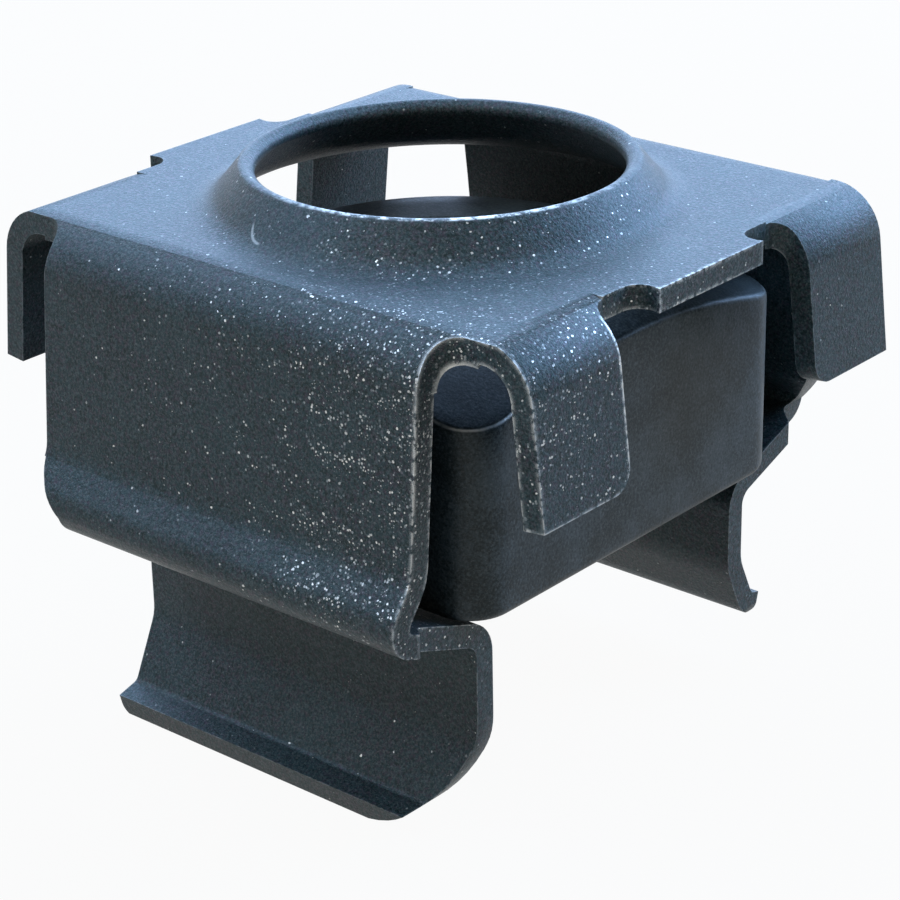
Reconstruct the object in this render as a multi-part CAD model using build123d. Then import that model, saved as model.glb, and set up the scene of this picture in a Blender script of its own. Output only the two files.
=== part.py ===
from build123d import *
import math
import os

# Rack cage nut for a square rack hole: a folded sheet cage and the loose square nut in it.
# Lengths are millimetres and angles are degrees. The screw's axis is the line x = 0, y = 0.
# Height 0 is the toe of the long leg, and +Z points into the rack, away from the screw's head.
# Depths are measured down from the plate's top face.

# Rack hole that the legs spring into
rack_hole_side = 9.5
leg_spring_gap = 0.22

# Square nut, and its thread at the minor radius
nut_side = 10.5
nut_height = 5.1
nut_corner_radius = 1.0
nut_bottom_edge = 0.25
nut_flat_radius = 4.5
nut_crown_slope = 20.0
thread_minor_radius = 2.5
thread_mouth_radius = 3.1
thread_mouth_slope = 30.0

# Room that the cage leaves round the nut
nut_seat_clearance = 0.03
nut_headroom = 1.0
nut_wall_play = 0.88
nut_flap_play = 1.32

# Cage sheet, its top bends, and how far the sides lean out
sheet = 0.5
bend_radius = 1.155
wall_lean = 4.6
flap_lean = 6.3

# Side walls: the kick outwards, the fold under it, and the rounded corner at one end of the fold
wall_half_length = 5.1
kick_reach = 0.8
kick_height = 1.08
kick_bend_radius = 1.0
fold_bend_radius = 0.42
corner_rise = 1.0
corner_relief = 0.4
corner_radius = 0.9

# Shelves under the nut, from the fold in to slanted shoulders at the leg's width
shelf_slope = 19.7
shoulder_run = 0.8
shoulder_slant = 0.35
shoulder_radius = 0.25
leg_bend_radius = 0.62
leg_inset = 0.4

# Legs, from the fold down to the toe, and their flared lips
long_leg_height = 5.545
long_lip_height = 2.025
long_lip_reach = 5.86
short_leg_height = 4.48
short_lip_height = 1.51
short_lip_reach = 5.39
lip_lean = 25.0
toe_drop = 15.0
lip_bend_radius = 1.2
toe_bend_radius = 0.45
wide_lip_corner = 2.6
tight_lip_corner = 0.3
toe_margin = 0.05

# Hanging flaps at the two ends, and the slots that part them from the walls, one of them wider
flap_inner_edge = 3.2
flap_outer_edge = 5.9
flap_depth = 3.57
flap_corner_radius = 0.5
flap_root_radius = 0.45
slot_root_radius = 0.6
wide_slot_extra = 0.55

# End tongues, level with the plate, between two relief notches
tongue_root_half_width = 1.6
tongue_end_half_width = 1.75
tongue_end = 7.0
relief_root = 6.38
relief_root_radius = 0.4

# Drawn collar round the hole
rim_radius = 4.16
rim_height = 0.98
rim_sheet = 0.42
rim_edge_radius = 0.18
collar_run = 0.8
collar_flare_radius = 0.9
collar_margin = 0.6

# Overrun of cuts past a face
overrun = 1.0


def run_over(slope, length):
    """How far a line rises or leans over a length, at a slope in degrees."""
    return length * math.tan(math.radians(slope))


def across(slope):
    """Share of a sheet's thickness that a straight cut sees, where the sheet slopes."""
    return 1 / math.cos(math.radians(slope))


def sheet_middle(half_size, lean, depth):
    """Distance from the axis to the middle of a leaning side's sheet, at a depth."""
    return half_size - sheet / 2 * across(lean) + run_over(lean, depth)


# Plate, where its top plane meets the planes of the sides
plate_half_width = nut_side / 2 + nut_wall_play + sheet
plate_half_length = nut_side / 2 + nut_flap_play + sheet
flat_half_length = plate_half_length - bend_radius

# Leg's width from the wall's, and the collar's foot and the ring round it from its rim
leg_half_width = wall_half_length - leg_inset
collar_foot_radius = rim_radius + collar_run
collar_base_radius = collar_foot_radius + collar_margin

# Shelf under the rounded lower edge of the nut, and the height of everything above the long toe
nut_foot_depth = sheet + nut_headroom + nut_height
edge_out = nut_side / 2 - nut_bottom_edge
seat_gap = (nut_bottom_edge + nut_seat_clearance + sheet / 2) * across(shelf_slope)
seat_depth = nut_foot_depth - nut_bottom_edge + seat_gap
fold_level = long_leg_height
leg_out = (rack_hole_side - leg_spring_gap - sheet) / 2


def kick_place():
    """Depth of the kick and reach of the fold that bring the shelf under the nut's edge."""
    rise = math.tan(math.radians(shelf_slope))
    lean = math.tan(math.radians(wall_lean))
    fold_at_no_depth = sheet_middle(plate_half_width, wall_lean, 0) + kick_reach
    depth = seat_depth - rise * (fold_at_no_depth - edge_out) - kick_height
    depth /= 1 + rise * lean
    return depth, sheet_middle(plate_half_width, wall_lean, depth) + kick_reach


kick_depth, fold_out = kick_place()
plate_top = fold_level + kick_height + kick_depth
shoulder_out = fold_out - shoulder_run


def shelf_middle(out):
    """Height of the middle of a shelf's sheet, at a distance from the axis."""
    return fold_level - run_over(shelf_slope, fold_out - out)


def side_route(leg_height, lip_height, lip_reach):
    """Middle line of one side, from the plate's edge to the toe, as (distance out, height)."""
    toe_turn = math.radians(toe_drop)
    toe_out = lip_reach - sheet / 2 * math.sin(toe_turn)
    toe_height = fold_level - leg_height + sheet / 2 * math.cos(toe_turn)
    lip_start = fold_level - leg_height + lip_height
    lip_fall = lip_start - toe_height - run_over(toe_drop, toe_out - leg_out)
    lip_run = lip_fall / (1 / math.tan(math.radians(lip_lean)) - math.tan(toe_turn))
    return [
        (sheet_middle(plate_half_width, wall_lean, sheet / 2), plate_top - sheet / 2),
        (sheet_middle(plate_half_width, wall_lean, kick_depth), plate_top - kick_depth),
        (fold_out, fold_level),
        (leg_out, shelf_middle(leg_out)),
        (leg_out, lip_start),
        (leg_out + lip_run, toe_height + run_over(toe_drop, toe_out - leg_out - lip_run)),
        (toe_out, toe_height),
    ]


def block(low, high):
    """Block between two opposite corners."""
    size = [b - a for a, b in zip(low, high)]
    middle = [(a + b) / 2 for a, b in zip(low, high)]
    return Pos(*middle) * Box(*size)


def folded_strip(plane, points, radii, half_width):
    """Sheet that follows a middle line drawn on a plane, with a bend at each inner point."""
    section = trace(FilletPolyline(*points, radius=radii), line_width=sheet)
    return extrude(plane * section, amount=half_width, both=True)


def side_form(plane, half_size, lean, half_length):
    """Solid between two opposite leaning sides, round over its top bends."""
    foot = half_size + run_over(lean, plate_top)
    corners = [(-foot, 0), (-half_size, plate_top), (half_size, plate_top), (foot, 0)]
    outline = FilletPolyline(*corners, radius=(0, bend_radius, bend_radius, 0), close=True)
    return extrude(plane * make_face(outline), amount=half_length, both=True)


def wall_blank():
    """Room of a wall's foot in the blank: square at one end, drawn in on a curve at the other."""
    top = plate_top - bend_radius
    corners = [
        (-wall_half_length, top),
        (-wall_half_length, fold_level + corner_rise),
        (corner_relief - leg_half_width, fold_level),
        (wall_half_length, fold_level),
        (wall_half_length, top),
    ]
    outline = FilletPolyline(*corners, radius=(0, corner_radius, 0, 0, 0), close=True)
    return extrude(Plane.XZ * make_face(outline), amount=fold_out + overrun)


def shelf_blank():
    """Room of a shelf in plan, which narrows to the leg's width at a slanted shoulder on each side."""
    beyond = -fold_out - overrun
    leg_side = shoulder_slant - shoulder_out
    corners = [
        (-leg_half_width, 0),
        (-leg_half_width, leg_side),
        (corner_relief - leg_half_width, -shoulder_out),
        (corner_relief - leg_half_width, beyond),
        (wall_half_length, beyond),
        (wall_half_length, -shoulder_out),
        (leg_half_width, leg_side),
        (leg_half_width, 0),
    ]
    radii = (0, shoulder_radius, shoulder_radius, 0, 0, shoulder_radius, shoulder_radius, 0)
    outline = FilletPolyline(*corners, radius=radii, close=True)
    foot = shelf_middle(0)
    return Pos(0, 0, foot) * extrude(make_face(outline), amount=fold_level - foot)


def leg_blank(leg_height):
    """Room of a shelf and leg in the blank, with one tight and one wide corner at the lip."""
    top = plate_top - kick_depth
    foot = fold_level - leg_height - toe_margin
    corners = [
        (-leg_half_width, top),
        (-leg_half_width, foot),
        (leg_half_width, foot),
        (leg_half_width, top),
    ]
    radii = (0, tight_lip_corner, wide_lip_corner, 0)
    outline = FilletPolyline(*corners, radius=radii, close=True)
    return extrude(Plane.XZ * make_face(outline), amount=shoulder_out - shoulder_slant)


def side_strip():
    """Plate, walls, folds, shelves and legs, as one strip folded across the cage."""
    long_side = side_route(long_leg_height, long_lip_height, long_lip_reach)
    short_side = side_route(short_leg_height, short_lip_height, short_lip_reach)
    points = [(-out, height) for out, height in reversed(long_side)] + short_side
    top_bend = bend_radius - sheet / 2
    radii = [top_bend, kick_bend_radius, fold_bend_radius, leg_bend_radius, lip_bend_radius, toe_bend_radius]
    strip = folded_strip(Plane.YZ, points, radii[::-1] + radii, flat_half_length)
    plate_room = block(
        (-flat_half_length, -plate_half_width - overrun, plate_top - bend_radius),
        (flat_half_length, plate_half_width + overrun, plate_top + overrun),
    )
    wall_room = block(
        (-wall_half_length, -fold_out, plate_top - kick_depth),
        (wall_half_length, fold_out, plate_top),
    )
    foot = wall_blank() + shelf_blank()
    turned = Rot(0, 0, 180)
    rooms = plate_room + wall_room + foot + leg_blank(long_leg_height)
    rooms += turned * foot + turned * leg_blank(short_leg_height)
    return strip & rooms


def flap_corners(flaps):
    """Lower inner edges of the flaps, which are rounded."""
    middle = plate_top - flap_depth
    feet = flaps.edges().filter_by_position(Axis.Z, middle - sheet / 2, middle + sheet / 2)
    inner = feet.filter_by(lambda edge: abs(abs(edge.center().Y) - flap_inner_edge) < sheet / 4)
    return inner.filter_by(lambda edge: edge.length < sheet * 2)


def ends():
    """Both ends of the plate with their bends and flaps, cut from a strip folded along the cage."""
    edge = (sheet_middle(plate_half_length, flap_lean, sheet / 2), plate_top - sheet / 2)
    foot = (sheet_middle(plate_half_length, flap_lean, flap_depth), plate_top - flap_depth)
    points = [(-foot[0], foot[1]), (-edge[0], edge[1]), edge, foot]
    strip = folded_strip(Plane.XZ, points, [bend_radius - sheet / 2] * 2, flap_outer_edge)
    strip &= side_form(Plane.YZ, plate_half_width, wall_lean, plate_half_length + overrun)
    middle = block(
        (-flat_half_length, -plate_half_width, plate_top - bend_radius),
        (flat_half_length, plate_half_width, plate_top + overrun),
    )
    strip -= middle + end_windows()
    return fillet(flap_corners(strip), flap_corner_radius)


def corner_slot(wall_end):
    """Cut that parts a wall, which ends there, from the flap beside it, round at the root."""
    reach = plate_half_length + run_over(flap_lean, plate_top) + overrun
    corners = [
        (wall_end, flap_outer_edge),
        (reach, flap_outer_edge),
        (reach, reach),
        (wall_end, reach),
    ]
    outline = FilletPolyline(*corners, radius=(slot_root_radius, 0, 0, 0), close=True)
    foot = Pos(0, 0, plate_top - kick_depth)
    return foot * extrude(make_face(outline), amount=kick_depth + overrun)


def corner_slots():
    """The slots at all four corners, the one at the corner of -X and +Y cut wider into the wall."""
    slot = corner_slot(wall_half_length)
    slots = slot + mirror(slot, Plane.YZ)
    wide = corner_slot(wall_half_length - wide_slot_extra)
    return slots + mirror(slots, Plane.XZ) + mirror(wide, Plane.YZ)


def end_windows():
    """Cuts between the flaps of both ends, with rounded corners at the flaps' roots."""
    foot = plate_top - flap_depth - overrun
    reach = plate_half_length + run_over(flap_lean, flap_depth) + overrun
    corners = [
        (relief_root, -flap_inner_edge),
        (reach, -flap_inner_edge),
        (reach, flap_inner_edge),
        (relief_root, flap_inner_edge),
    ]
    outline = FilletPolyline(*corners, radius=(flap_root_radius, 0, 0, flap_root_radius), close=True)
    window = Pos(0, 0, foot) * extrude(make_face(outline), amount=plate_top - foot + overrun)
    root_half_width = flap_inner_edge - flap_root_radius
    window += block(
        (flat_half_length, -root_half_width, foot),
        (reach, root_half_width, plate_top + overrun),
    )
    return window + mirror(window, Plane.YZ)


def tongues():
    """Flat ends of the plate between the flaps: a neck between two notches, and its tongue."""
    root_half_width = flap_inner_edge - flap_root_radius
    half = [
        (flat_half_length, root_half_width),
        (relief_root, root_half_width),
        (relief_root, tongue_root_half_width),
        (tongue_end, tongue_end_half_width),
    ]
    corners = half + [(out, -side) for out, side in reversed(half)]
    radii = (0, 0, relief_root_radius, 0, 0, relief_root_radius, 0, 0)
    outline = FilletPolyline(*corners, radius=radii, close=True)
    tongue = Pos(0, 0, plate_top - sheet) * extrude(make_face(outline), amount=sheet)
    return tongue + mirror(tongue, Plane.YZ)


def collar():
    """Ring drawn up from the plate round the hole, thinner at its rim."""
    flare = math.atan2(rim_height, collar_foot_radius - rim_radius)
    under_foot = collar_foot_radius - sheet * math.tan(flare / 2)
    rim = (rim_radius, rim_height)
    under_rim = (rim_radius - rim_sheet * math.sin(flare), rim_height - rim_sheet * math.cos(flare))
    corners = [
        (collar_base_radius, 0),
        (collar_foot_radius, 0),
        rim,
        under_rim,
        (under_foot, -sheet),
        (collar_base_radius, -sheet),
    ]
    radii = (0, collar_flare_radius, rim_edge_radius, rim_edge_radius, collar_flare_radius + sheet, 0)
    outline = FilletPolyline(*corners, radius=radii, close=True)
    ring = revolve(Plane.XZ * make_face(outline), Axis.Z)
    return Pos(0, 0, plate_top) * ring


def spring_cage():
    """The folded cage, in one piece."""
    cage = side_strip() + ends() - corner_slots() + tongues()
    hole = Pos(0, 0, plate_top) * Cylinder(collar_base_radius, sheet * 4)
    cage = cage - hole + collar()
    return cage


def square_nut():
    """Square nut with a conical crown, sitting on the slopes of both shelves."""
    body = extrude(RectangleRounded(nut_side, nut_side, nut_corner_radius), amount=nut_height)
    body = fillet(body.faces().sort_by(Axis.Z)[0].edges(), nut_bottom_edge)
    wide = nut_flat_radius + nut_height / math.tan(math.radians(nut_crown_slope))
    body &= Pos(0, 0, nut_height / 2) * Cone(wide, nut_flat_radius, nut_height)
    body -= Pos(0, 0, nut_height / 2) * Cylinder(thread_minor_radius, nut_height + overrun * 2)
    mouth_depth = run_over(thread_mouth_slope, thread_mouth_radius - thread_minor_radius)
    mouth = Cone(thread_minor_radius, thread_mouth_radius, mouth_depth)
    body -= Pos(0, 0, nut_height - mouth_depth / 2) * mouth
    body -= Pos(0, 0, mouth_depth / 2) * mirror(mouth, Plane.XY)
    return Pos(0, 0, plate_top - nut_foot_depth) * body


os.makedirs("parts", exist_ok=True)
export_step(spring_cage(), "parts/spring_cage.step")
export_step(square_nut(), "parts/square_nut.step")
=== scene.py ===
"""Looks of a rack cage nut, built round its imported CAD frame. Lengths are metres."""

import math

import bmesh
import bpy
import numpy as np
from mathutils import Matrix


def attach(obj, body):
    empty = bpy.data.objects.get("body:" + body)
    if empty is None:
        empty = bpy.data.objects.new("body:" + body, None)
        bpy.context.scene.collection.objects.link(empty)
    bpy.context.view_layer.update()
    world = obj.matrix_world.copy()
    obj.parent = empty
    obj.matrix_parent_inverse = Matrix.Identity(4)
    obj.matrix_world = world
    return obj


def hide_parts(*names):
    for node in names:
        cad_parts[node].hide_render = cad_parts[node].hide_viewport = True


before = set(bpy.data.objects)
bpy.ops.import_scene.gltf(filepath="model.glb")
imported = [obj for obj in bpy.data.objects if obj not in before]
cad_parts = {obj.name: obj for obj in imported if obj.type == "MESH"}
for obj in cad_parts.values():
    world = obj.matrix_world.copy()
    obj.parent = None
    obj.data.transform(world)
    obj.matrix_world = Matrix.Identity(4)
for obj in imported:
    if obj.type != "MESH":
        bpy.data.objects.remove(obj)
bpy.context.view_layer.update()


# Cage: one blank of 0.5 mm spring steel, pierced, drawn up into the collar and folded.
# It is tumbled after shearing, so every cut edge is slightly rounded, and then phosphated
# dark and oiled. Handling has worn the cut edges of the front corner bright, and bright lines painted on
# some cut edges and on the rim stand in for highlights.
MM = 0.001
plate_top = 11.536 * MM
sheet = 0.5 * MM
edge_rounding = 0.05 * MM
edge_steps = 2
sheared_angle = math.radians(32)
flat_angle = math.radians(0.6)
weld_distance = 0.001 * MM
ring_radius = 5.56 * MM
ring_slack = 10 * weld_distance
foot_radius = 4.96 * MM
rim_radius = 4.16 * MM
rim_height = 0.98 * MM
rim_sheet = 0.42 * MM
rim_rounding = 0.18 * MM
flare_rounding = 0.9 * MM
collar_underside = plate_top - 1.2 * sheet
collar_columns = 240
arc_points = 9


def merged_copy(node, name):
    """A CAD node's mesh again, its corners welded and its flat facets joined into single faces."""
    mesh = node.data.copy()
    mesh.name = name
    shape = bmesh.new()
    shape.from_mesh(mesh)
    bmesh.ops.remove_doubles(shape, verts=shape.verts, dist=weld_distance)
    bmesh.ops.dissolve_limit(shape, angle_limit=flat_angle, verts=shape.verts, edges=shape.edges)
    shape.to_mesh(mesh)
    shape.free()
    mesh.materials.clear()
    piece = bpy.data.objects.new(name, mesh)
    bpy.context.scene.collection.objects.link(piece)
    return piece


def rounded_outline(corners, radii):
    """Outline through corners, each replaced by an arc of its radius that touches both its lines.

    With half the angle h between the lines, the arc starts radius / tan h before the corner and
    its centre lies radius / sin h from the corner, along the line that halves the angle. A point
    part way round is the arc's first and last spokes, each times the sine of the angle left to
    the other, over the sine of the whole angle.
    """
    points = [np.array(corners[0])]
    for before, corner, after, radius in zip(corners, corners[1:], corners[2:], radii):
        corner = np.array(corner)
        back = (np.array(before) - corner) / np.linalg.norm(np.array(before) - corner)
        on = (np.array(after) - corner) / np.linalg.norm(np.array(after) - corner)
        half = math.acos(float(back @ on)) / 2
        middle = (back + on) / np.linalg.norm(back + on)
        centre = corner + middle * radius / math.sin(half)
        first = corner + back * radius / math.tan(half) - centre
        last = corner + on * radius / math.tan(half) - centre
        swept = math.pi - 2 * half
        share = np.linspace(0, 1, arc_points)[:, None]
        early = np.sin((1 - share) * swept) / math.sin(swept)
        late = np.sin(share * swept) / math.sin(swept)
        points.extend(centre + first * early + last * late)
    points.append(np.array(corners[-1]))
    return np.array(points)


def collar_rows():
    """Points of the drawn collar: its profile (radius, height over the plate) turned about the axis."""
    flare = math.atan2(rim_height, foot_radius - rim_radius)
    corners = [
        (ring_radius, 0),
        (foot_radius, 0),
        (rim_radius, rim_height),
        (rim_radius - rim_sheet * math.sin(flare), rim_height - rim_sheet * math.cos(flare)),
        (foot_radius - sheet * math.tan(flare / 2), -sheet),
        (ring_radius, -sheet),
    ]
    radii = (flare_rounding, rim_rounding, rim_rounding, flare_rounding + sheet)
    radius, height = rounded_outline(corners, radii).T
    turn = np.linspace(0, 2 * math.pi, collar_columns, endpoint=False)
    x = radius[:, None] * np.cos(turn)
    y = radius[:, None] * np.sin(turn)
    z = np.repeat(height[:, None] + plate_top, turn.size, axis=1)
    return np.stack([x, y, z], axis=-1)


def swap_collar(mesh):
    """Takes the coarse collar out of the cage's mesh and puts the finely turned one in its place."""
    shape = bmesh.new()
    shape.from_mesh(mesh)
    inside = []
    for face in shape.faces:
        reach = max(math.hypot(corner.co.x, corner.co.y) for corner in face.verts)
        if face.calc_center_median().z > collar_underside and reach < ring_radius + ring_slack:
            inside.append(face)
    bmesh.ops.delete(shape, geom=inside, context="FACES")
    rows = [[shape.verts.new(point) for point in row] for row in collar_rows()]
    for row, next_row in zip(rows, rows[1:]):
        for column in range(collar_columns):
            following = (column + 1) % collar_columns
            shape.faces.new((row[column], row[following], next_row[following], next_row[column]))
    shape.to_mesh(mesh)
    shape.free()


def round_edges(piece, width, angle, steps):
    """Rounds every edge sharper than an angle, and shades the faces between them smooth."""
    piece.data.shade_smooth()
    bevel = piece.modifiers.new("sheared_edges", "BEVEL")
    bevel.width = width
    bevel.segments = steps
    bevel.limit_method = "ANGLE"
    bevel.angle_limit = angle
    bevel.miter_outer = "MITER_ARC"
    weighted = piece.modifiers.new("even_shading", "WEIGHTED_NORMAL")
    weighted.keep_sharp = True
    weighted.weight = 90


def finish_nodes(name):
    """A new material with an empty node tree, and the Object coordinates that its patterns read."""
    material = bpy.data.materials.new(name)
    material.use_nodes = True
    tree = material.node_tree
    tree.nodes.clear()
    place = tree.nodes.new("ShaderNodeTexCoord").outputs["Object"]
    return material, tree, place


def wire(tree, kind, sockets, **settings):
    """Adds a node. Each named or numbered socket takes a value or another node's output."""
    node = tree.nodes.new(kind)
    for key, value in settings.items():
        setattr(node, key, value)
    for key, value in sockets.items():
        if isinstance(value, bpy.types.NodeSocket):
            tree.links.new(value, node.inputs[key])
        else:
            node.inputs[key].default_value = value
    return node


def sums(tree, operation, *values, clamp=False):
    """One arithmetic node on the values."""
    sockets = dict(enumerate(values))
    return wire(tree, "ShaderNodeMath", sockets, operation=operation, use_clamp=clamp).outputs[0]


def product(tree, *values):
    """Several values multiplied together."""
    result = values[0]
    for value in values[1:]:
        result = sums(tree, "MULTIPLY", result, value)
    return result


def most(tree, *values):
    """The largest of several values."""
    largest = values[0]
    for value in values[1:]:
        largest = sums(tree, "MAXIMUM", largest, value)
    return largest


def vectors(tree, operation, sockets):
    """One node of vector arithmetic. Its outputs are called Vector and Value."""
    return wire(tree, "ShaderNodeVectorMath", sockets, operation=operation).outputs


def height_of(tree, place):
    """The height of the point that is shaded."""
    return wire(tree, "ShaderNodeSeparateXYZ", {0: place}).outputs["Z"]


def ramp(tree, value, low, high, bottom=0.0, top=1.0):
    """A smooth step of a value from bottom at low to top at high."""
    sockets = {"Value": value, "From Min": low, "From Max": high, "To Min": bottom, "To Max": top}
    return wire(tree, "ShaderNodeMapRange", sockets, interpolation_type="SMOOTHSTEP").outputs[0]


def grain(tree, place, size, detail=3.0, roughness=0.6):
    """Noise whose blotches are about one size across, from 0 to 1."""
    sockets = {"Vector": place, "Scale": 1 / size, "Detail": detail, "Roughness": roughness}
    return wire(tree, "ShaderNodeTexNoise", sockets).outputs["Fac"]


def patches(tree, place, size, low, high, weakest=0.0, strongest=1.0, detail=3.0, roughness=0.6):
    """Noise of a size, cut so that it goes from weakest to strongest between two of its levels."""
    return ramp(tree, grain(tree, place, size, detail, roughness), low, high, weakest, strongest)


def blend(tree, share, first, second):
    """Colour that goes from the first to the second as share goes from 0 to 1."""
    node = wire(tree, "ShaderNodeMix", {0: share, 6: first, 7: second}, data_type="RGBA")
    return node.outputs[2]


def nearness(tree, place, centre, reach):
    """1 at a point, falling smoothly to 0 at a distance from it."""
    away = vectors(tree, "DISTANCE", {0: place, 1: centre})["Value"]
    return ramp(tree, away, 0.0, reach, 1.0, 0.0)


def edge_wear(tree, radius, low, high):
    """1 where the surface turns within a radius, which is along edges, and 0 on open faces."""
    turned = wire(tree, "ShaderNodeBevel", {"Radius": radius}, samples=6).outputs[0]
    plain = tree.nodes.new("ShaderNodeNewGeometry").outputs["Normal"]
    same = vectors(tree, "DOT_PRODUCT", {0: turned, 1: plain})["Value"]
    return ramp(tree, same, high, low)


ragged_waves = 2.2
ragged_shift = 0.5
dimmest_speck = 0.15


def specks(tree, place, cell, radius, share):
    """Ragged specks, each in a cell of its own, where a cell's own random number is under share.

    A speck's radius is up to the given one, counted in cells. Two more random numbers of the
    cell set how large and how bright it is.
    """
    sockets = {"Vector": place, "Scale": ragged_waves / cell, "Detail": 2.0}
    ragged = wire(tree, "ShaderNodeTexNoise", sockets).outputs["Color"]
    shift = vectors(tree, "SCALE", {0: ragged, "Scale": cell * ragged_shift})["Vector"]
    moved = vectors(tree, "ADD", {0: place, 1: shift})["Vector"]
    sockets = {"Vector": moved, "Scale": 1 / cell, "Randomness": 1.0}
    cells = wire(tree, "ShaderNodeTexVoronoi", sockets).outputs
    draw = wire(tree, "ShaderNodeSeparateColor", {0: cells["Color"]}).outputs
    inside = sums(tree, "LESS_THAN", cells["Distance"], product(tree, draw[1], radius))
    found = sums(tree, "LESS_THAN", draw[0], share)
    return product(tree, inside, found, ramp(tree, draw[2], 0.1, 1.0, dimmest_speck, 1.0))


slate_dark = (0.005, 0.015, 0.014, 1)
slate_pale = (0.030, 0.054, 0.054, 1)
slate_rosy = (0.044, 0.032, 0.042, 1)
worn_steel = (0.70, 0.68, 0.63, 1)
coat_metal = 0.15
coat_shine = 0.20
front_corner = (5.1 * MM, -6.6 * MM, 10.4 * MM)
wall_foot = (3.6 * MM, -7.4 * MM, 6.6 * MM)
flap_side = (7.3 * MM, -3.4 * MM, 9.8 * MM)
tongue_edge = (7.0 * MM, -0.6 * MM, 11.5 * MM)
near_rim = (2.8 * MM, -3.1 * MM, 12.5 * MM)
slot_arch = (5.3 * MM, -6.2 * MM, 11.3 * MM)
flap_inner_edge = 3.2 * MM
flap_foot = 8.0 * MM
scratch_centre = (-0.575 * MM, -4.27 * MM, 0)
scratch_radius = 0.592 * MM
scratch_middle = (-0.60, -0.80, 0)
sparse_chance = 0.015
front_chance = 0.24
dense_chance = 0.60
faintest_edge = 0.30
line_strength = 0.8
scratch_strength = 0.38
glint_strength = 0.09


def sheet_coat(tree, place, crystals):
    """Mottled coat of the sheet: dark slate with rosy grains, paler where its crystals are high."""
    blotches = grain(tree, place, 1.6 * MM)
    tone = sums(tree, "ADD", product(tree, blotches, 0.30), product(tree, crystals, 1.2))
    rosy = patches(tree, place, 0.10 * MM, 0.45, 0.60, detail=2.0)
    ground = blend(tree, rosy, slate_dark, slate_rosy)
    return blend(tree, ramp(tree, tone, 0.58, 0.92), ground, slate_pale)


def bare_specks(tree, place, near_front, dense):
    """Specks of bare steel in three sizes, sparse all round and dense at the front corner."""
    front = product(tree, near_front, front_chance)
    chance = sums(tree, "ADD", front, product(tree, dense, dense_chance))
    chance = most(tree, chance, sparse_chance)
    fine = specks(tree, place, 0.062 * MM, 0.50, chance)
    middling = specks(tree, place, 0.13 * MM, 0.27, product(tree, chance, 0.5))
    coarse = specks(tree, place, 0.30 * MM, 0.17, product(tree, dense, 0.20))
    patchy = patches(tree, place, 0.7 * MM, 0.36, 0.60, 0.3, detail=2.0)
    return product(tree, most(tree, fine, middling, coarse), patchy)


def worn_and_lit_edges(tree, place, near_front, dense, at_flap):
    """Ragged bright lines along the cut edges, wider at the front corner, the flap and the tongue. They
    are wear, and at the flap and the tongue partly a painted highlight on the lit cut faces.
    """
    thin = edge_wear(tree, 0.07 * MM, 0.80, 0.96)
    wide = edge_wear(tree, 0.24 * MM, 0.70, 0.96)
    # Near the tongue and the flap the wide lines are partly a painted highlight.
    at_tongue = nearness(tree, place, tongue_edge, 4.0 * MM)
    thin_here = most(tree, near_front, at_tongue, faintest_edge)
    wide_here = most(tree, sums(tree, "MULTIPLY", dense, 1.3, clamp=True), at_flap, at_tongue)
    lines = most(tree, product(tree, thin, thin_here), product(tree, wide, wide_here))
    ragged = patches(tree, place, 0.13 * MM, 0.40, 0.56, detail=4.0)
    at_arch = nearness(tree, place, slot_arch, 2.4 * MM)
    chipped = patches(tree, place, 0.30 * MM, 0.42, 0.53)
    return most(tree, product(tree, lines, ragged), product(tree, wide, at_arch, chipped))


def flap_outline(tree, place, at_flap):
    """Uneven bright line down the near flap's inner edge and along its foot: a painted highlight in
    worn-steel colour where these edges catch the light.
    """
    across, aside, level = wire(tree, "ShaderNodeSeparateXYZ", {0: place}).outputs
    on_flap = product(tree, ramp(tree, across, 6.6 * MM, 6.8 * MM), ramp(tree, at_flap, 0.02, 0.2))
    from_edge = sums(tree, "ABSOLUTE", sums(tree, "ADD", aside, flap_inner_edge))
    inner = ramp(tree, from_edge, 0.02 * MM, 0.07 * MM, line_strength, 0.0)
    foot = ramp(tree, level, flap_foot - 0.02 * MM, flap_foot + 0.05 * MM, line_strength, 0.0)
    uneven = patches(tree, place, 0.20 * MM, 0.38, 0.55, 0.15)
    return product(tree, most(tree, inner, foot), uneven, on_flap)


def rim_wear_and_highlight(tree, place):
    """Bright blobs along the top of the collar's rim, on its near side: partly wear, and partly a painted
    highlight where the rim's top catches the light.
    """
    rim_top = plate_top + rim_height - rim_rounding / 2
    line = ramp(tree, height_of(tree, place), rim_top - 0.02 * MM, rim_top + 0.01 * MM)
    # Only the near side gets the blobs, as a painted highlight.
    at_rim = nearness(tree, place, near_rim, 6.0 * MM)
    blobs = patches(tree, place, 0.22 * MM, 0.42, 0.58, 0.12, detail=4.0, roughness=0.7)
    return product(tree, line, at_rim, blobs)


def scratch_arc(tree, place):
    """One faint scratch on the plate: an arc at a radius from its own centre, a short way round."""
    flat = vectors(tree, "MULTIPLY", {0: place, 1: (1, 1, 0)})["Vector"]
    spoke = vectors(tree, "SUBTRACT", {0: flat, 1: scratch_centre})["Vector"]
    reach = vectors(tree, "LENGTH", {0: spoke})["Value"]
    ahead = vectors(tree, "DOT_PRODUCT", {0: spoke, 1: scratch_middle})["Value"]
    off_arc = sums(tree, "ABSOLUTE", sums(tree, "SUBTRACT", reach, scratch_radius))
    line = ramp(tree, off_arc, 0.01 * MM, 0.04 * MM, scratch_strength, 0.0)
    within = ramp(tree, sums(tree, "DIVIDE", ahead, reach), 0.82, 0.92)
    on_plate = sums(tree, "GREATER_THAN", height_of(tree, place), plate_top)
    return product(tree, line, within, on_plate)


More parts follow.
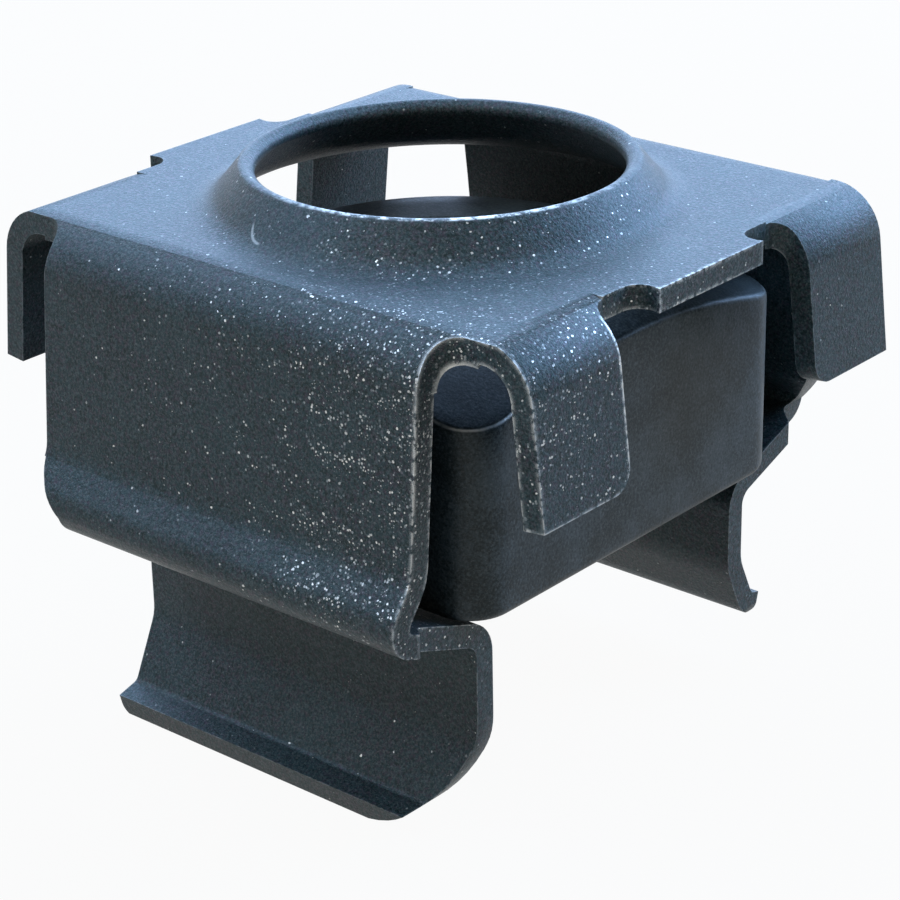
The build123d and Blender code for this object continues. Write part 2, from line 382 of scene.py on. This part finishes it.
def phosphate(tree, coat, bare_and_highlights, metal, roughness, crystals, strength, depth):
    """Shader of a phosphated surface, which goes from its coat to worn steel where it is bare and where a
    highlight or glint is painted in.
    """
    bump = wire(tree, "ShaderNodeBump", {"Strength": strength, "Distance": depth, "Height": crystals})
    sockets = {
        "Base Color": blend(tree, bare_and_highlights, coat, worn_steel),
        "Metallic": ramp(tree, bare_and_highlights, 0.0, 1.0, coat_metal, metal),
        "Roughness": roughness,
        "Normal": bump.outputs[0],
        "Specular IOR Level": coat_shine,
    }
    shader = wire(tree, "ShaderNodeBsdfPrincipled", sockets)
    wire(tree, "ShaderNodeOutputMaterial", {"Surface": shader.outputs[0]})


cage_sheet, tree, place = finish_nodes("dark_phosphate_on_sheet")
crystals = grain(tree, place, 0.075 * MM, 3.0, 0.75)
near_front = nearness(tree, place, front_corner, 12.0 * MM)
at_front = nearness(tree, place, front_corner, 5.2 * MM)
dense = most(tree, at_front, nearness(tree, place, wall_foot, 3.0 * MM))
at_flap = nearness(tree, place, flap_side, 4.2 * MM)
bare_and_highlights = most(
    tree,
    worn_and_lit_edges(tree, place, near_front, dense, at_flap),
    flap_outline(tree, place, at_flap),
    rim_wear_and_highlight(tree, place),
    # Painted glints: fine flecks of bright steel that stand in for sparkle.
    patches(tree, place, 0.055 * MM, 0.44, 0.66, 0.0, glint_strength, detail=2.0, roughness=0.8),
    bare_specks(tree, place, near_front, dense),
    scratch_arc(tree, place),
)
matt = ramp(tree, crystals, 0.3, 0.7, 0.34, 0.50)
matt = sums(tree, "ADD", matt, product(tree, bare_and_highlights, -0.06))
phosphate(tree, sheet_coat(tree, place, crystals), bare_and_highlights, 0.75, matt, crystals, 0.9, 0.020 * MM)

cage = merged_copy(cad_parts["spring_cage"], "cage")
swap_collar(cage.data)
round_edges(cage, edge_rounding, sheared_angle, edge_steps)
cage.data.materials.append(cage_sheet)
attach(cage, "root")
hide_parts("spring_cage")


# Nut: a square M6 nut, pressed from bar, with a turned crown and a tapped bore, phosphated
# darker than the cage. It lies loose on the two shelves of the cage.
nut_side = 10.5 * MM
nut_height = 5.1 * MM
nut_foot = 4.9362 * MM
nut_corner = 1.0 * MM
foot_rounding = 0.25 * MM
crown_rounding = 0.12 * MM
crown_radius = 4.5 * MM
crown_slope = math.tan(math.radians(20))
mouth_radius = 3.1 * MM
mouth_slope = math.tan(math.radians(30))
thread_pitch = 1.0 * MM
thread_minor = 2.5 * MM
thread_depth = 0.5 * MM
groove_root = 0.125
groove_mouth = 0.75
rows_a_turn = 16
points_a_side = 26
points_a_corner = 12
smooth_angle = math.radians(28)


def square_round(half, radius, side_points, corner_points):
    """Outline of a square with round corners, walked once round from the middle of the +X side.

    Each quarter is half a side, a quarter circle about the corner's centre and half the next
    side. Returns the distances from the axis, the angles about it and the directions outwards.
    """
    flat = np.linspace(0, half - radius, side_points // 2, endpoint=False)
    turn = np.linspace(0, math.pi / 2, corner_points)
    centre = half - radius
    x = np.concatenate([np.full(flat.size, half), centre + radius * np.cos(turn), centre - flat[1:]])
    y = np.concatenate([flat, centre + radius * np.sin(turn), np.full(flat.size - 1, half)])
    out = np.concatenate([np.zeros(flat.size), turn, np.full(flat.size - 1, math.pi / 2)])
    quarter = np.arange(4)[:, None] * math.pi / 2
    angle = (np.arctan2(y, x) + quarter).ravel()
    reach = np.tile(np.hypot(x, y), 4)
    out = (out + quarter).ravel()
    angle = np.append(angle, angle[0] + 2 * math.pi)
    reach = np.append(reach, reach[0])
    out = np.append(out, out[0])
    return reach, angle, np.cos(out), np.sin(out)


def thread_radius(angle, height):
    """Radius of the tapped bore: the minor radius plus a groove that climbs one pitch a turn.

    The groove is a trapezoid in the height, and a cone widens the bore at each of its mouths.
    """
    phase = np.mod(height / thread_pitch - angle / (2 * math.pi), 1)
    from_groove = np.abs(phase - 0.5) * 2
    groove = np.interp(from_groove, [groove_root, groove_mouth], [1, 0])
    mouth_top = mouth_radius - (nut_height - height) / mouth_slope
    mouth_foot = mouth_radius - height / mouth_slope
    return np.maximum(np.maximum(thread_minor + thread_depth * groove, mouth_top), mouth_foot)


def ring(x, y, level):
    """One row of points: an outline at a level, or at a level for each point."""
    return np.stack([x, y, np.broadcast_to(level, x.shape)], axis=-1)[None]


def nut_rows():
    """Rows of points from the bore's foot up through it, over the crown and down the sides to the foot.

    The crown falls from its radius outwards by its slope times the distance, and a parabola
    rounds it into the sides. A quarter circle rounds the sides into the foot.
    """
    reach, angle, nx, ny = square_round(nut_side / 2, nut_corner, points_a_side, points_a_corner)
    across, aside = np.cos(angle), np.sin(angle)
    x, y = reach * across, reach * aside
    turns = (angle - angle[0]) / (2 * math.pi)
    steps = np.arange(-rows_a_turn, math.ceil(nut_height / thread_pitch * rows_a_turn) + 1)
    height = thread_pitch * (steps[:, None] / rows_a_turn + turns[None, :])
    height = np.clip(height, 0, nut_height)
    bore = thread_radius(angle[None, :] - angle[0], height)
    rows = [np.stack([bore * across, bore * aside, height], axis=-1)]
    for radius in np.linspace(mouth_radius, crown_radius, 4)[1:]:
        rows.append(ring(radius * across, radius * aside, nut_height))
    for share in np.linspace(0, 1, 7)[1:-1]:
        radius = crown_radius + (reach - crown_rounding - crown_radius) * share
        level = nut_height - (radius - crown_radius) * crown_slope
        rows.append(ring(radius * across, radius * aside, level))
    edge_height = nut_height - (reach - crown_radius) * crown_slope
    for share in np.linspace(0, 1, 5):
        inset = crown_rounding * (1 - share) ** 2
        drop = crown_rounding * share**2
        level = edge_height + inset * crown_slope - drop
        rows.append(ring(x - nx * inset, y - ny * inset, level))
    for share in np.linspace(0, 1, 8)[1:-1]:
        level = (edge_height - crown_rounding) * (1 - share) + foot_rounding * share
        rows.append(ring(x, y, level))
    for turn in np.linspace(0, math.pi / 2, 6):
        inset = foot_rounding * (1 - math.cos(turn))
        level = foot_rounding * (1 - math.sin(turn))
        rows.append(ring(x - nx * inset, y - ny * inset, level))
    for share in (0.25, 0.5, 0.75):
        foot_x = (x - nx * foot_rounding) * (1 - share) + mouth_radius * across * share
        foot_y = (y - ny * foot_rounding) * (1 - share) + mouth_radius * aside * share
        rows.append(ring(foot_x, foot_y, 0))
    rows.append(rows[0][:1])
    return np.concatenate(rows) + np.array([0, 0, nut_foot])


def grid_piece(name, rows):
    """A mesh over a grid of points, with its seams and its collapsed rows welded."""
    count, width = rows.shape[:2]
    number = np.arange(count * width).reshape(count, width)
    corners = [number[:-1, :-1], number[:-1, 1:], number[1:, 1:], number[1:, :-1]]
    faces = np.stack([corner.ravel() for corner in corners], axis=-1)
    mesh = bpy.data.meshes.new(name)
    mesh.from_pydata(rows.reshape(-1, 3).tolist(), [], faces.tolist())
    shape = bmesh.new()
    shape.from_mesh(mesh)
    bmesh.ops.remove_doubles(shape, verts=shape.verts, dist=weld_distance)
    bmesh.ops.dissolve_degenerate(shape, edges=shape.edges, dist=weld_distance)
    bmesh.ops.recalc_face_normals(shape, faces=shape.faces)
    shape.to_mesh(mesh)
    shape.free()
    mesh.shade_smooth()
    mesh.set_sharp_from_angle(angle=smooth_angle)
    piece = bpy.data.objects.new(name, mesh)
    bpy.context.scene.collection.objects.link(piece)
    return piece


nut_dark = (0.017, 0.022, 0.021, 1)
nut_pale = (0.060, 0.068, 0.067, 1)
# Corner where the wear and the painted highlights of the nut are strongest.
worn_and_lit_corner = (5.2 * MM, -5.2 * MM, 9.3 * MM)
nut_glint_strength = 0.07


def nut_coat(tree, place, crystals):
    """Coat of the nut, mottled in large and small blotches from dark to paler slate."""
    blotches = grain(tree, place, 1.2 * MM)
    tone = sums(tree, "ADD", product(tree, blotches, 0.5), product(tree, crystals, 0.6))
    return blend(tree, ramp(tree, tone, 0.44, 0.66), nut_dark, nut_pale)


def crown_edge(tree, place, near_corner):
    """Thin uneven line where the crown meets the sides, which is brightest at one corner: a painted
    highlight of bright steel on the crown's edge, partly wear.

    The crown falls by its slope times the distance past its radius, and the line runs where a
    point is close below that cone. It is on the outline where it lies the corner's radius
    outside the square that joins the corners' centres.
    """
    flat = vectors(tree, "MULTIPLY", {0: place, 1: (1, 1, 0)})["Vector"]
    reach = vectors(tree, "LENGTH", {0: flat})["Value"]
    fall = product(tree, sums(tree, "SUBTRACT", reach, crown_radius), crown_slope)
    below = sums(tree, "SUBTRACT", nut_foot + nut_height, height_of(tree, place))
    below = sums(tree, "SUBTRACT", below, fall)
    inner = nut_side / 2 - nut_corner
    outward = vectors(tree, "ABSOLUTE", {0: flat})["Vector"]
    outward = vectors(tree, "SUBTRACT", {0: outward, 1: (inner, inner, 0)})["Vector"]
    outward = vectors(tree, "MAXIMUM", {0: outward, 1: (0, 0, 0)})["Vector"]
    outward = vectors(tree, "LENGTH", {0: outward})["Value"]
    on_outline = ramp(tree, outward, nut_corner - 0.08 * MM, nut_corner - 0.04 * MM)
    line = ramp(tree, below, 0.01 * MM, 0.06 * MM, 1.0, 0.0)
    here = ramp(tree, near_corner, 0.0, 0.5, 0.08, 0.8)
    uneven = patches(tree, place, 0.25 * MM, 0.34, 0.54, 0.2)
    return product(tree, line, on_outline, here, uneven)


nut_steel, tree, place = finish_nodes("dark_phosphate_on_nut")
crystals = grain(tree, place, 0.07 * MM, 2.0)
near_corner = nearness(tree, place, worn_and_lit_corner, 2.6 * MM)
# Edge wear, painted brighter round one corner, where it stands in for a highlight.
rubbed_and_lit = product(
    tree,
    edge_wear(tree, 0.10 * MM, 0.75, 0.96),
    patches(tree, place, 0.3 * MM, 0.42, 0.62),
    ramp(tree, near_corner, 0.0, 0.6, 0.25, 0.6),
)
# Painted glints: fine flecks of bright steel that stand in for sparkle.
glint = patches(tree, place, 0.055 * MM, 0.46, 0.68, 0.0, nut_glint_strength, detail=2.0, roughness=0.8)
bare_and_highlights = most(tree, rubbed_and_lit, crown_edge(tree, place, near_corner), glint)
matt = ramp(tree, crystals, 0.3, 0.7, 0.42, 0.54)
phosphate(tree, nut_coat(tree, place, crystals), bare_and_highlights, 0.8, matt, crystals, 0.45, 0.014 * MM)

nut = grid_piece("nut", nut_rows())
nut.data.materials.append(nut_steel)
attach(nut, "root")
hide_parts("square_nut")


# Floor: a plain pale sheet under the part. It keeps the part's soft shadow, and is nearly
# white where it is seen directly or in a reflection.
floor_half = 0.6
floor_pale = (0.30, 0.31, 0.27, 1)
floor_white = 0.95
white = (1, 1, 1, 1)


def seen_rays(tree):
    """1 for rays from the camera, through glass or off a shiny surface, and 0 for all others."""
    rays = tree.nodes.new("ShaderNodeLightPath").outputs
    return most(tree, rays["Is Camera Ray"], rays["Is Transmission Ray"], rays["Is Glossy Ray"])


floor_mesh = bpy.data.meshes.new("floor")
floor_corners = [(x * floor_half, y * floor_half, 0) for x, y in ((-1, -1), (1, -1), (1, 1), (-1, 1))]
floor_mesh.from_pydata(floor_corners, [], [(0, 1, 2, 3)])
floor = bpy.data.objects.new("floor", floor_mesh)
bpy.context.scene.collection.objects.link(floor)
floor_finish, tree, place = finish_nodes("pale_floor")
plain = wire(tree, "ShaderNodeBsdfDiffuse", {"Color": floor_pale})
glow = wire(tree, "ShaderNodeEmission", {"Color": white, "Strength": 1.0})
seen = product(tree, seen_rays(tree), floor_white)
mixed = wire(tree, "ShaderNodeMixShader", {0: seen, 1: plain.outputs[0], 2: glow.outputs[0]})
wire(tree, "ShaderNodeOutputMaterial", {"Surface": mixed.outputs[0]})
floor_mesh.materials.append(floor_finish)


# World: a dim pale room all round the part, white where it is seen directly, through glass
# or in a reflection.
room_level = 0.08
room_pale = (0.92, 1.0, 0.86, 1)

world = bpy.data.worlds.new("pale_room")
bpy.context.scene.world = world
world.use_nodes = True
tree = world.node_tree
tree.nodes.clear()
room = wire(tree, "ShaderNodeBackground", {"Color": room_pale, "Strength": room_level})
backdrop = wire(tree, "ShaderNodeBackground", {"Color": white, "Strength": 1.0})
mixed = wire(tree, "ShaderNodeMixShader", {0: seen_rays(tree), 1: room.outputs[0], 2: backdrop.outputs[0]})
wire(tree, "ShaderNodeOutputWorld", {"Surface": mixed.outputs[0]})


# Lamps: large blue softboxes behind and over the part, which skim its plate and its bends, a
# faint violet strip low behind them, and one plain lamp high in front for the walls.
sky_blue = (0.32, 0.57, 1.0)
pale_violet = (1.0, 0.90, 1.0)
plain_white = (0.90, 1.0, 0.96)
aim = (0, 0, 10 * MM)


def stand(holder, place, right, up, back):
    """Puts a lamp or a camera at a place. It looks away from back, with right and up as given."""
    turn = np.eye(4)
    turn[:3, 0] = right
    turn[:3, 1] = up
    turn[:3, 2] = back
    turn[:3, 3] = place
    holder.matrix_world = Matrix(turn.tolist())


def softbox(name, place, width, height, watts, colour):
    """A rectangular lamp at a place, turned to face the part."""
    lamp = bpy.data.lights.new(name, "AREA")
    lamp.shape = "RECTANGLE"
    lamp.size = width
    lamp.size_y = height
    lamp.energy = watts
    lamp.color = colour
    holder = bpy.data.objects.new(name, lamp)
    bpy.context.scene.collection.objects.link(holder)
    back = np.array(place) - np.array(aim)
    back = back / np.linalg.norm(back)
    right = np.cross((0, 0, 1), back)
    right = right / np.linalg.norm(right)
    stand(holder, place, right, np.cross(back, right), back)
    holder.visible_camera = False


softbox("back_softbox", (-0.066, 0.100, 0.062), 0.18, 0.090, 0.25, sky_blue)
softbox("low_back_softbox", (-0.13, 0.15, 0.045), 0.22, 0.022, 0.010, pale_violet)
softbox("right_softbox", (0.052, 0.128, 0.095), 0.12, 0.11, 0.52, sky_blue)
softbox("over_softbox", (-0.045, 0.045, 0.135), 0.15, 0.12, 0.13, sky_blue)
softbox("top_softbox", (-0.094, -0.060, 0.116), 0.13, 0.11, 0.17, sky_blue)
softbox("front_softbox", (-0.05, -0.10, 0.20), 0.16, 0.12, 0.10, plain_white)


# Camera: the photograph's own view, solved from the part's edges. Its place is counted from
# the centre of the plate's top.
camera_from_plate = (36.28759, -42.00237, 18.45123)
camera_right = (0.76272, 0.64648, -0.0182)
camera_down = (0.24674, -0.31689, -0.9158)
camera_ahead = (-0.59781, 0.69401, -0.40121)
lens = 110.316
film_width = 36
near_end = 0.001

camera_data = bpy.data.cameras.new("camera")
camera_data.lens = lens
camera_data.sensor_width = film_width
camera_data.clip_start = near_end
camera = bpy.data.objects.new("camera", camera_data)
bpy.context.scene.collection.objects.link(camera)
camera_place = np.array(camera_from_plate) * MM + (0, 0, plate_top)
stand(camera, camera_place, camera_right, -np.array(camera_down), -np.array(camera_ahead))
bpy.context.scene.camera = camera
bpy.context.scene.view_settings.view_transform = "Standard"
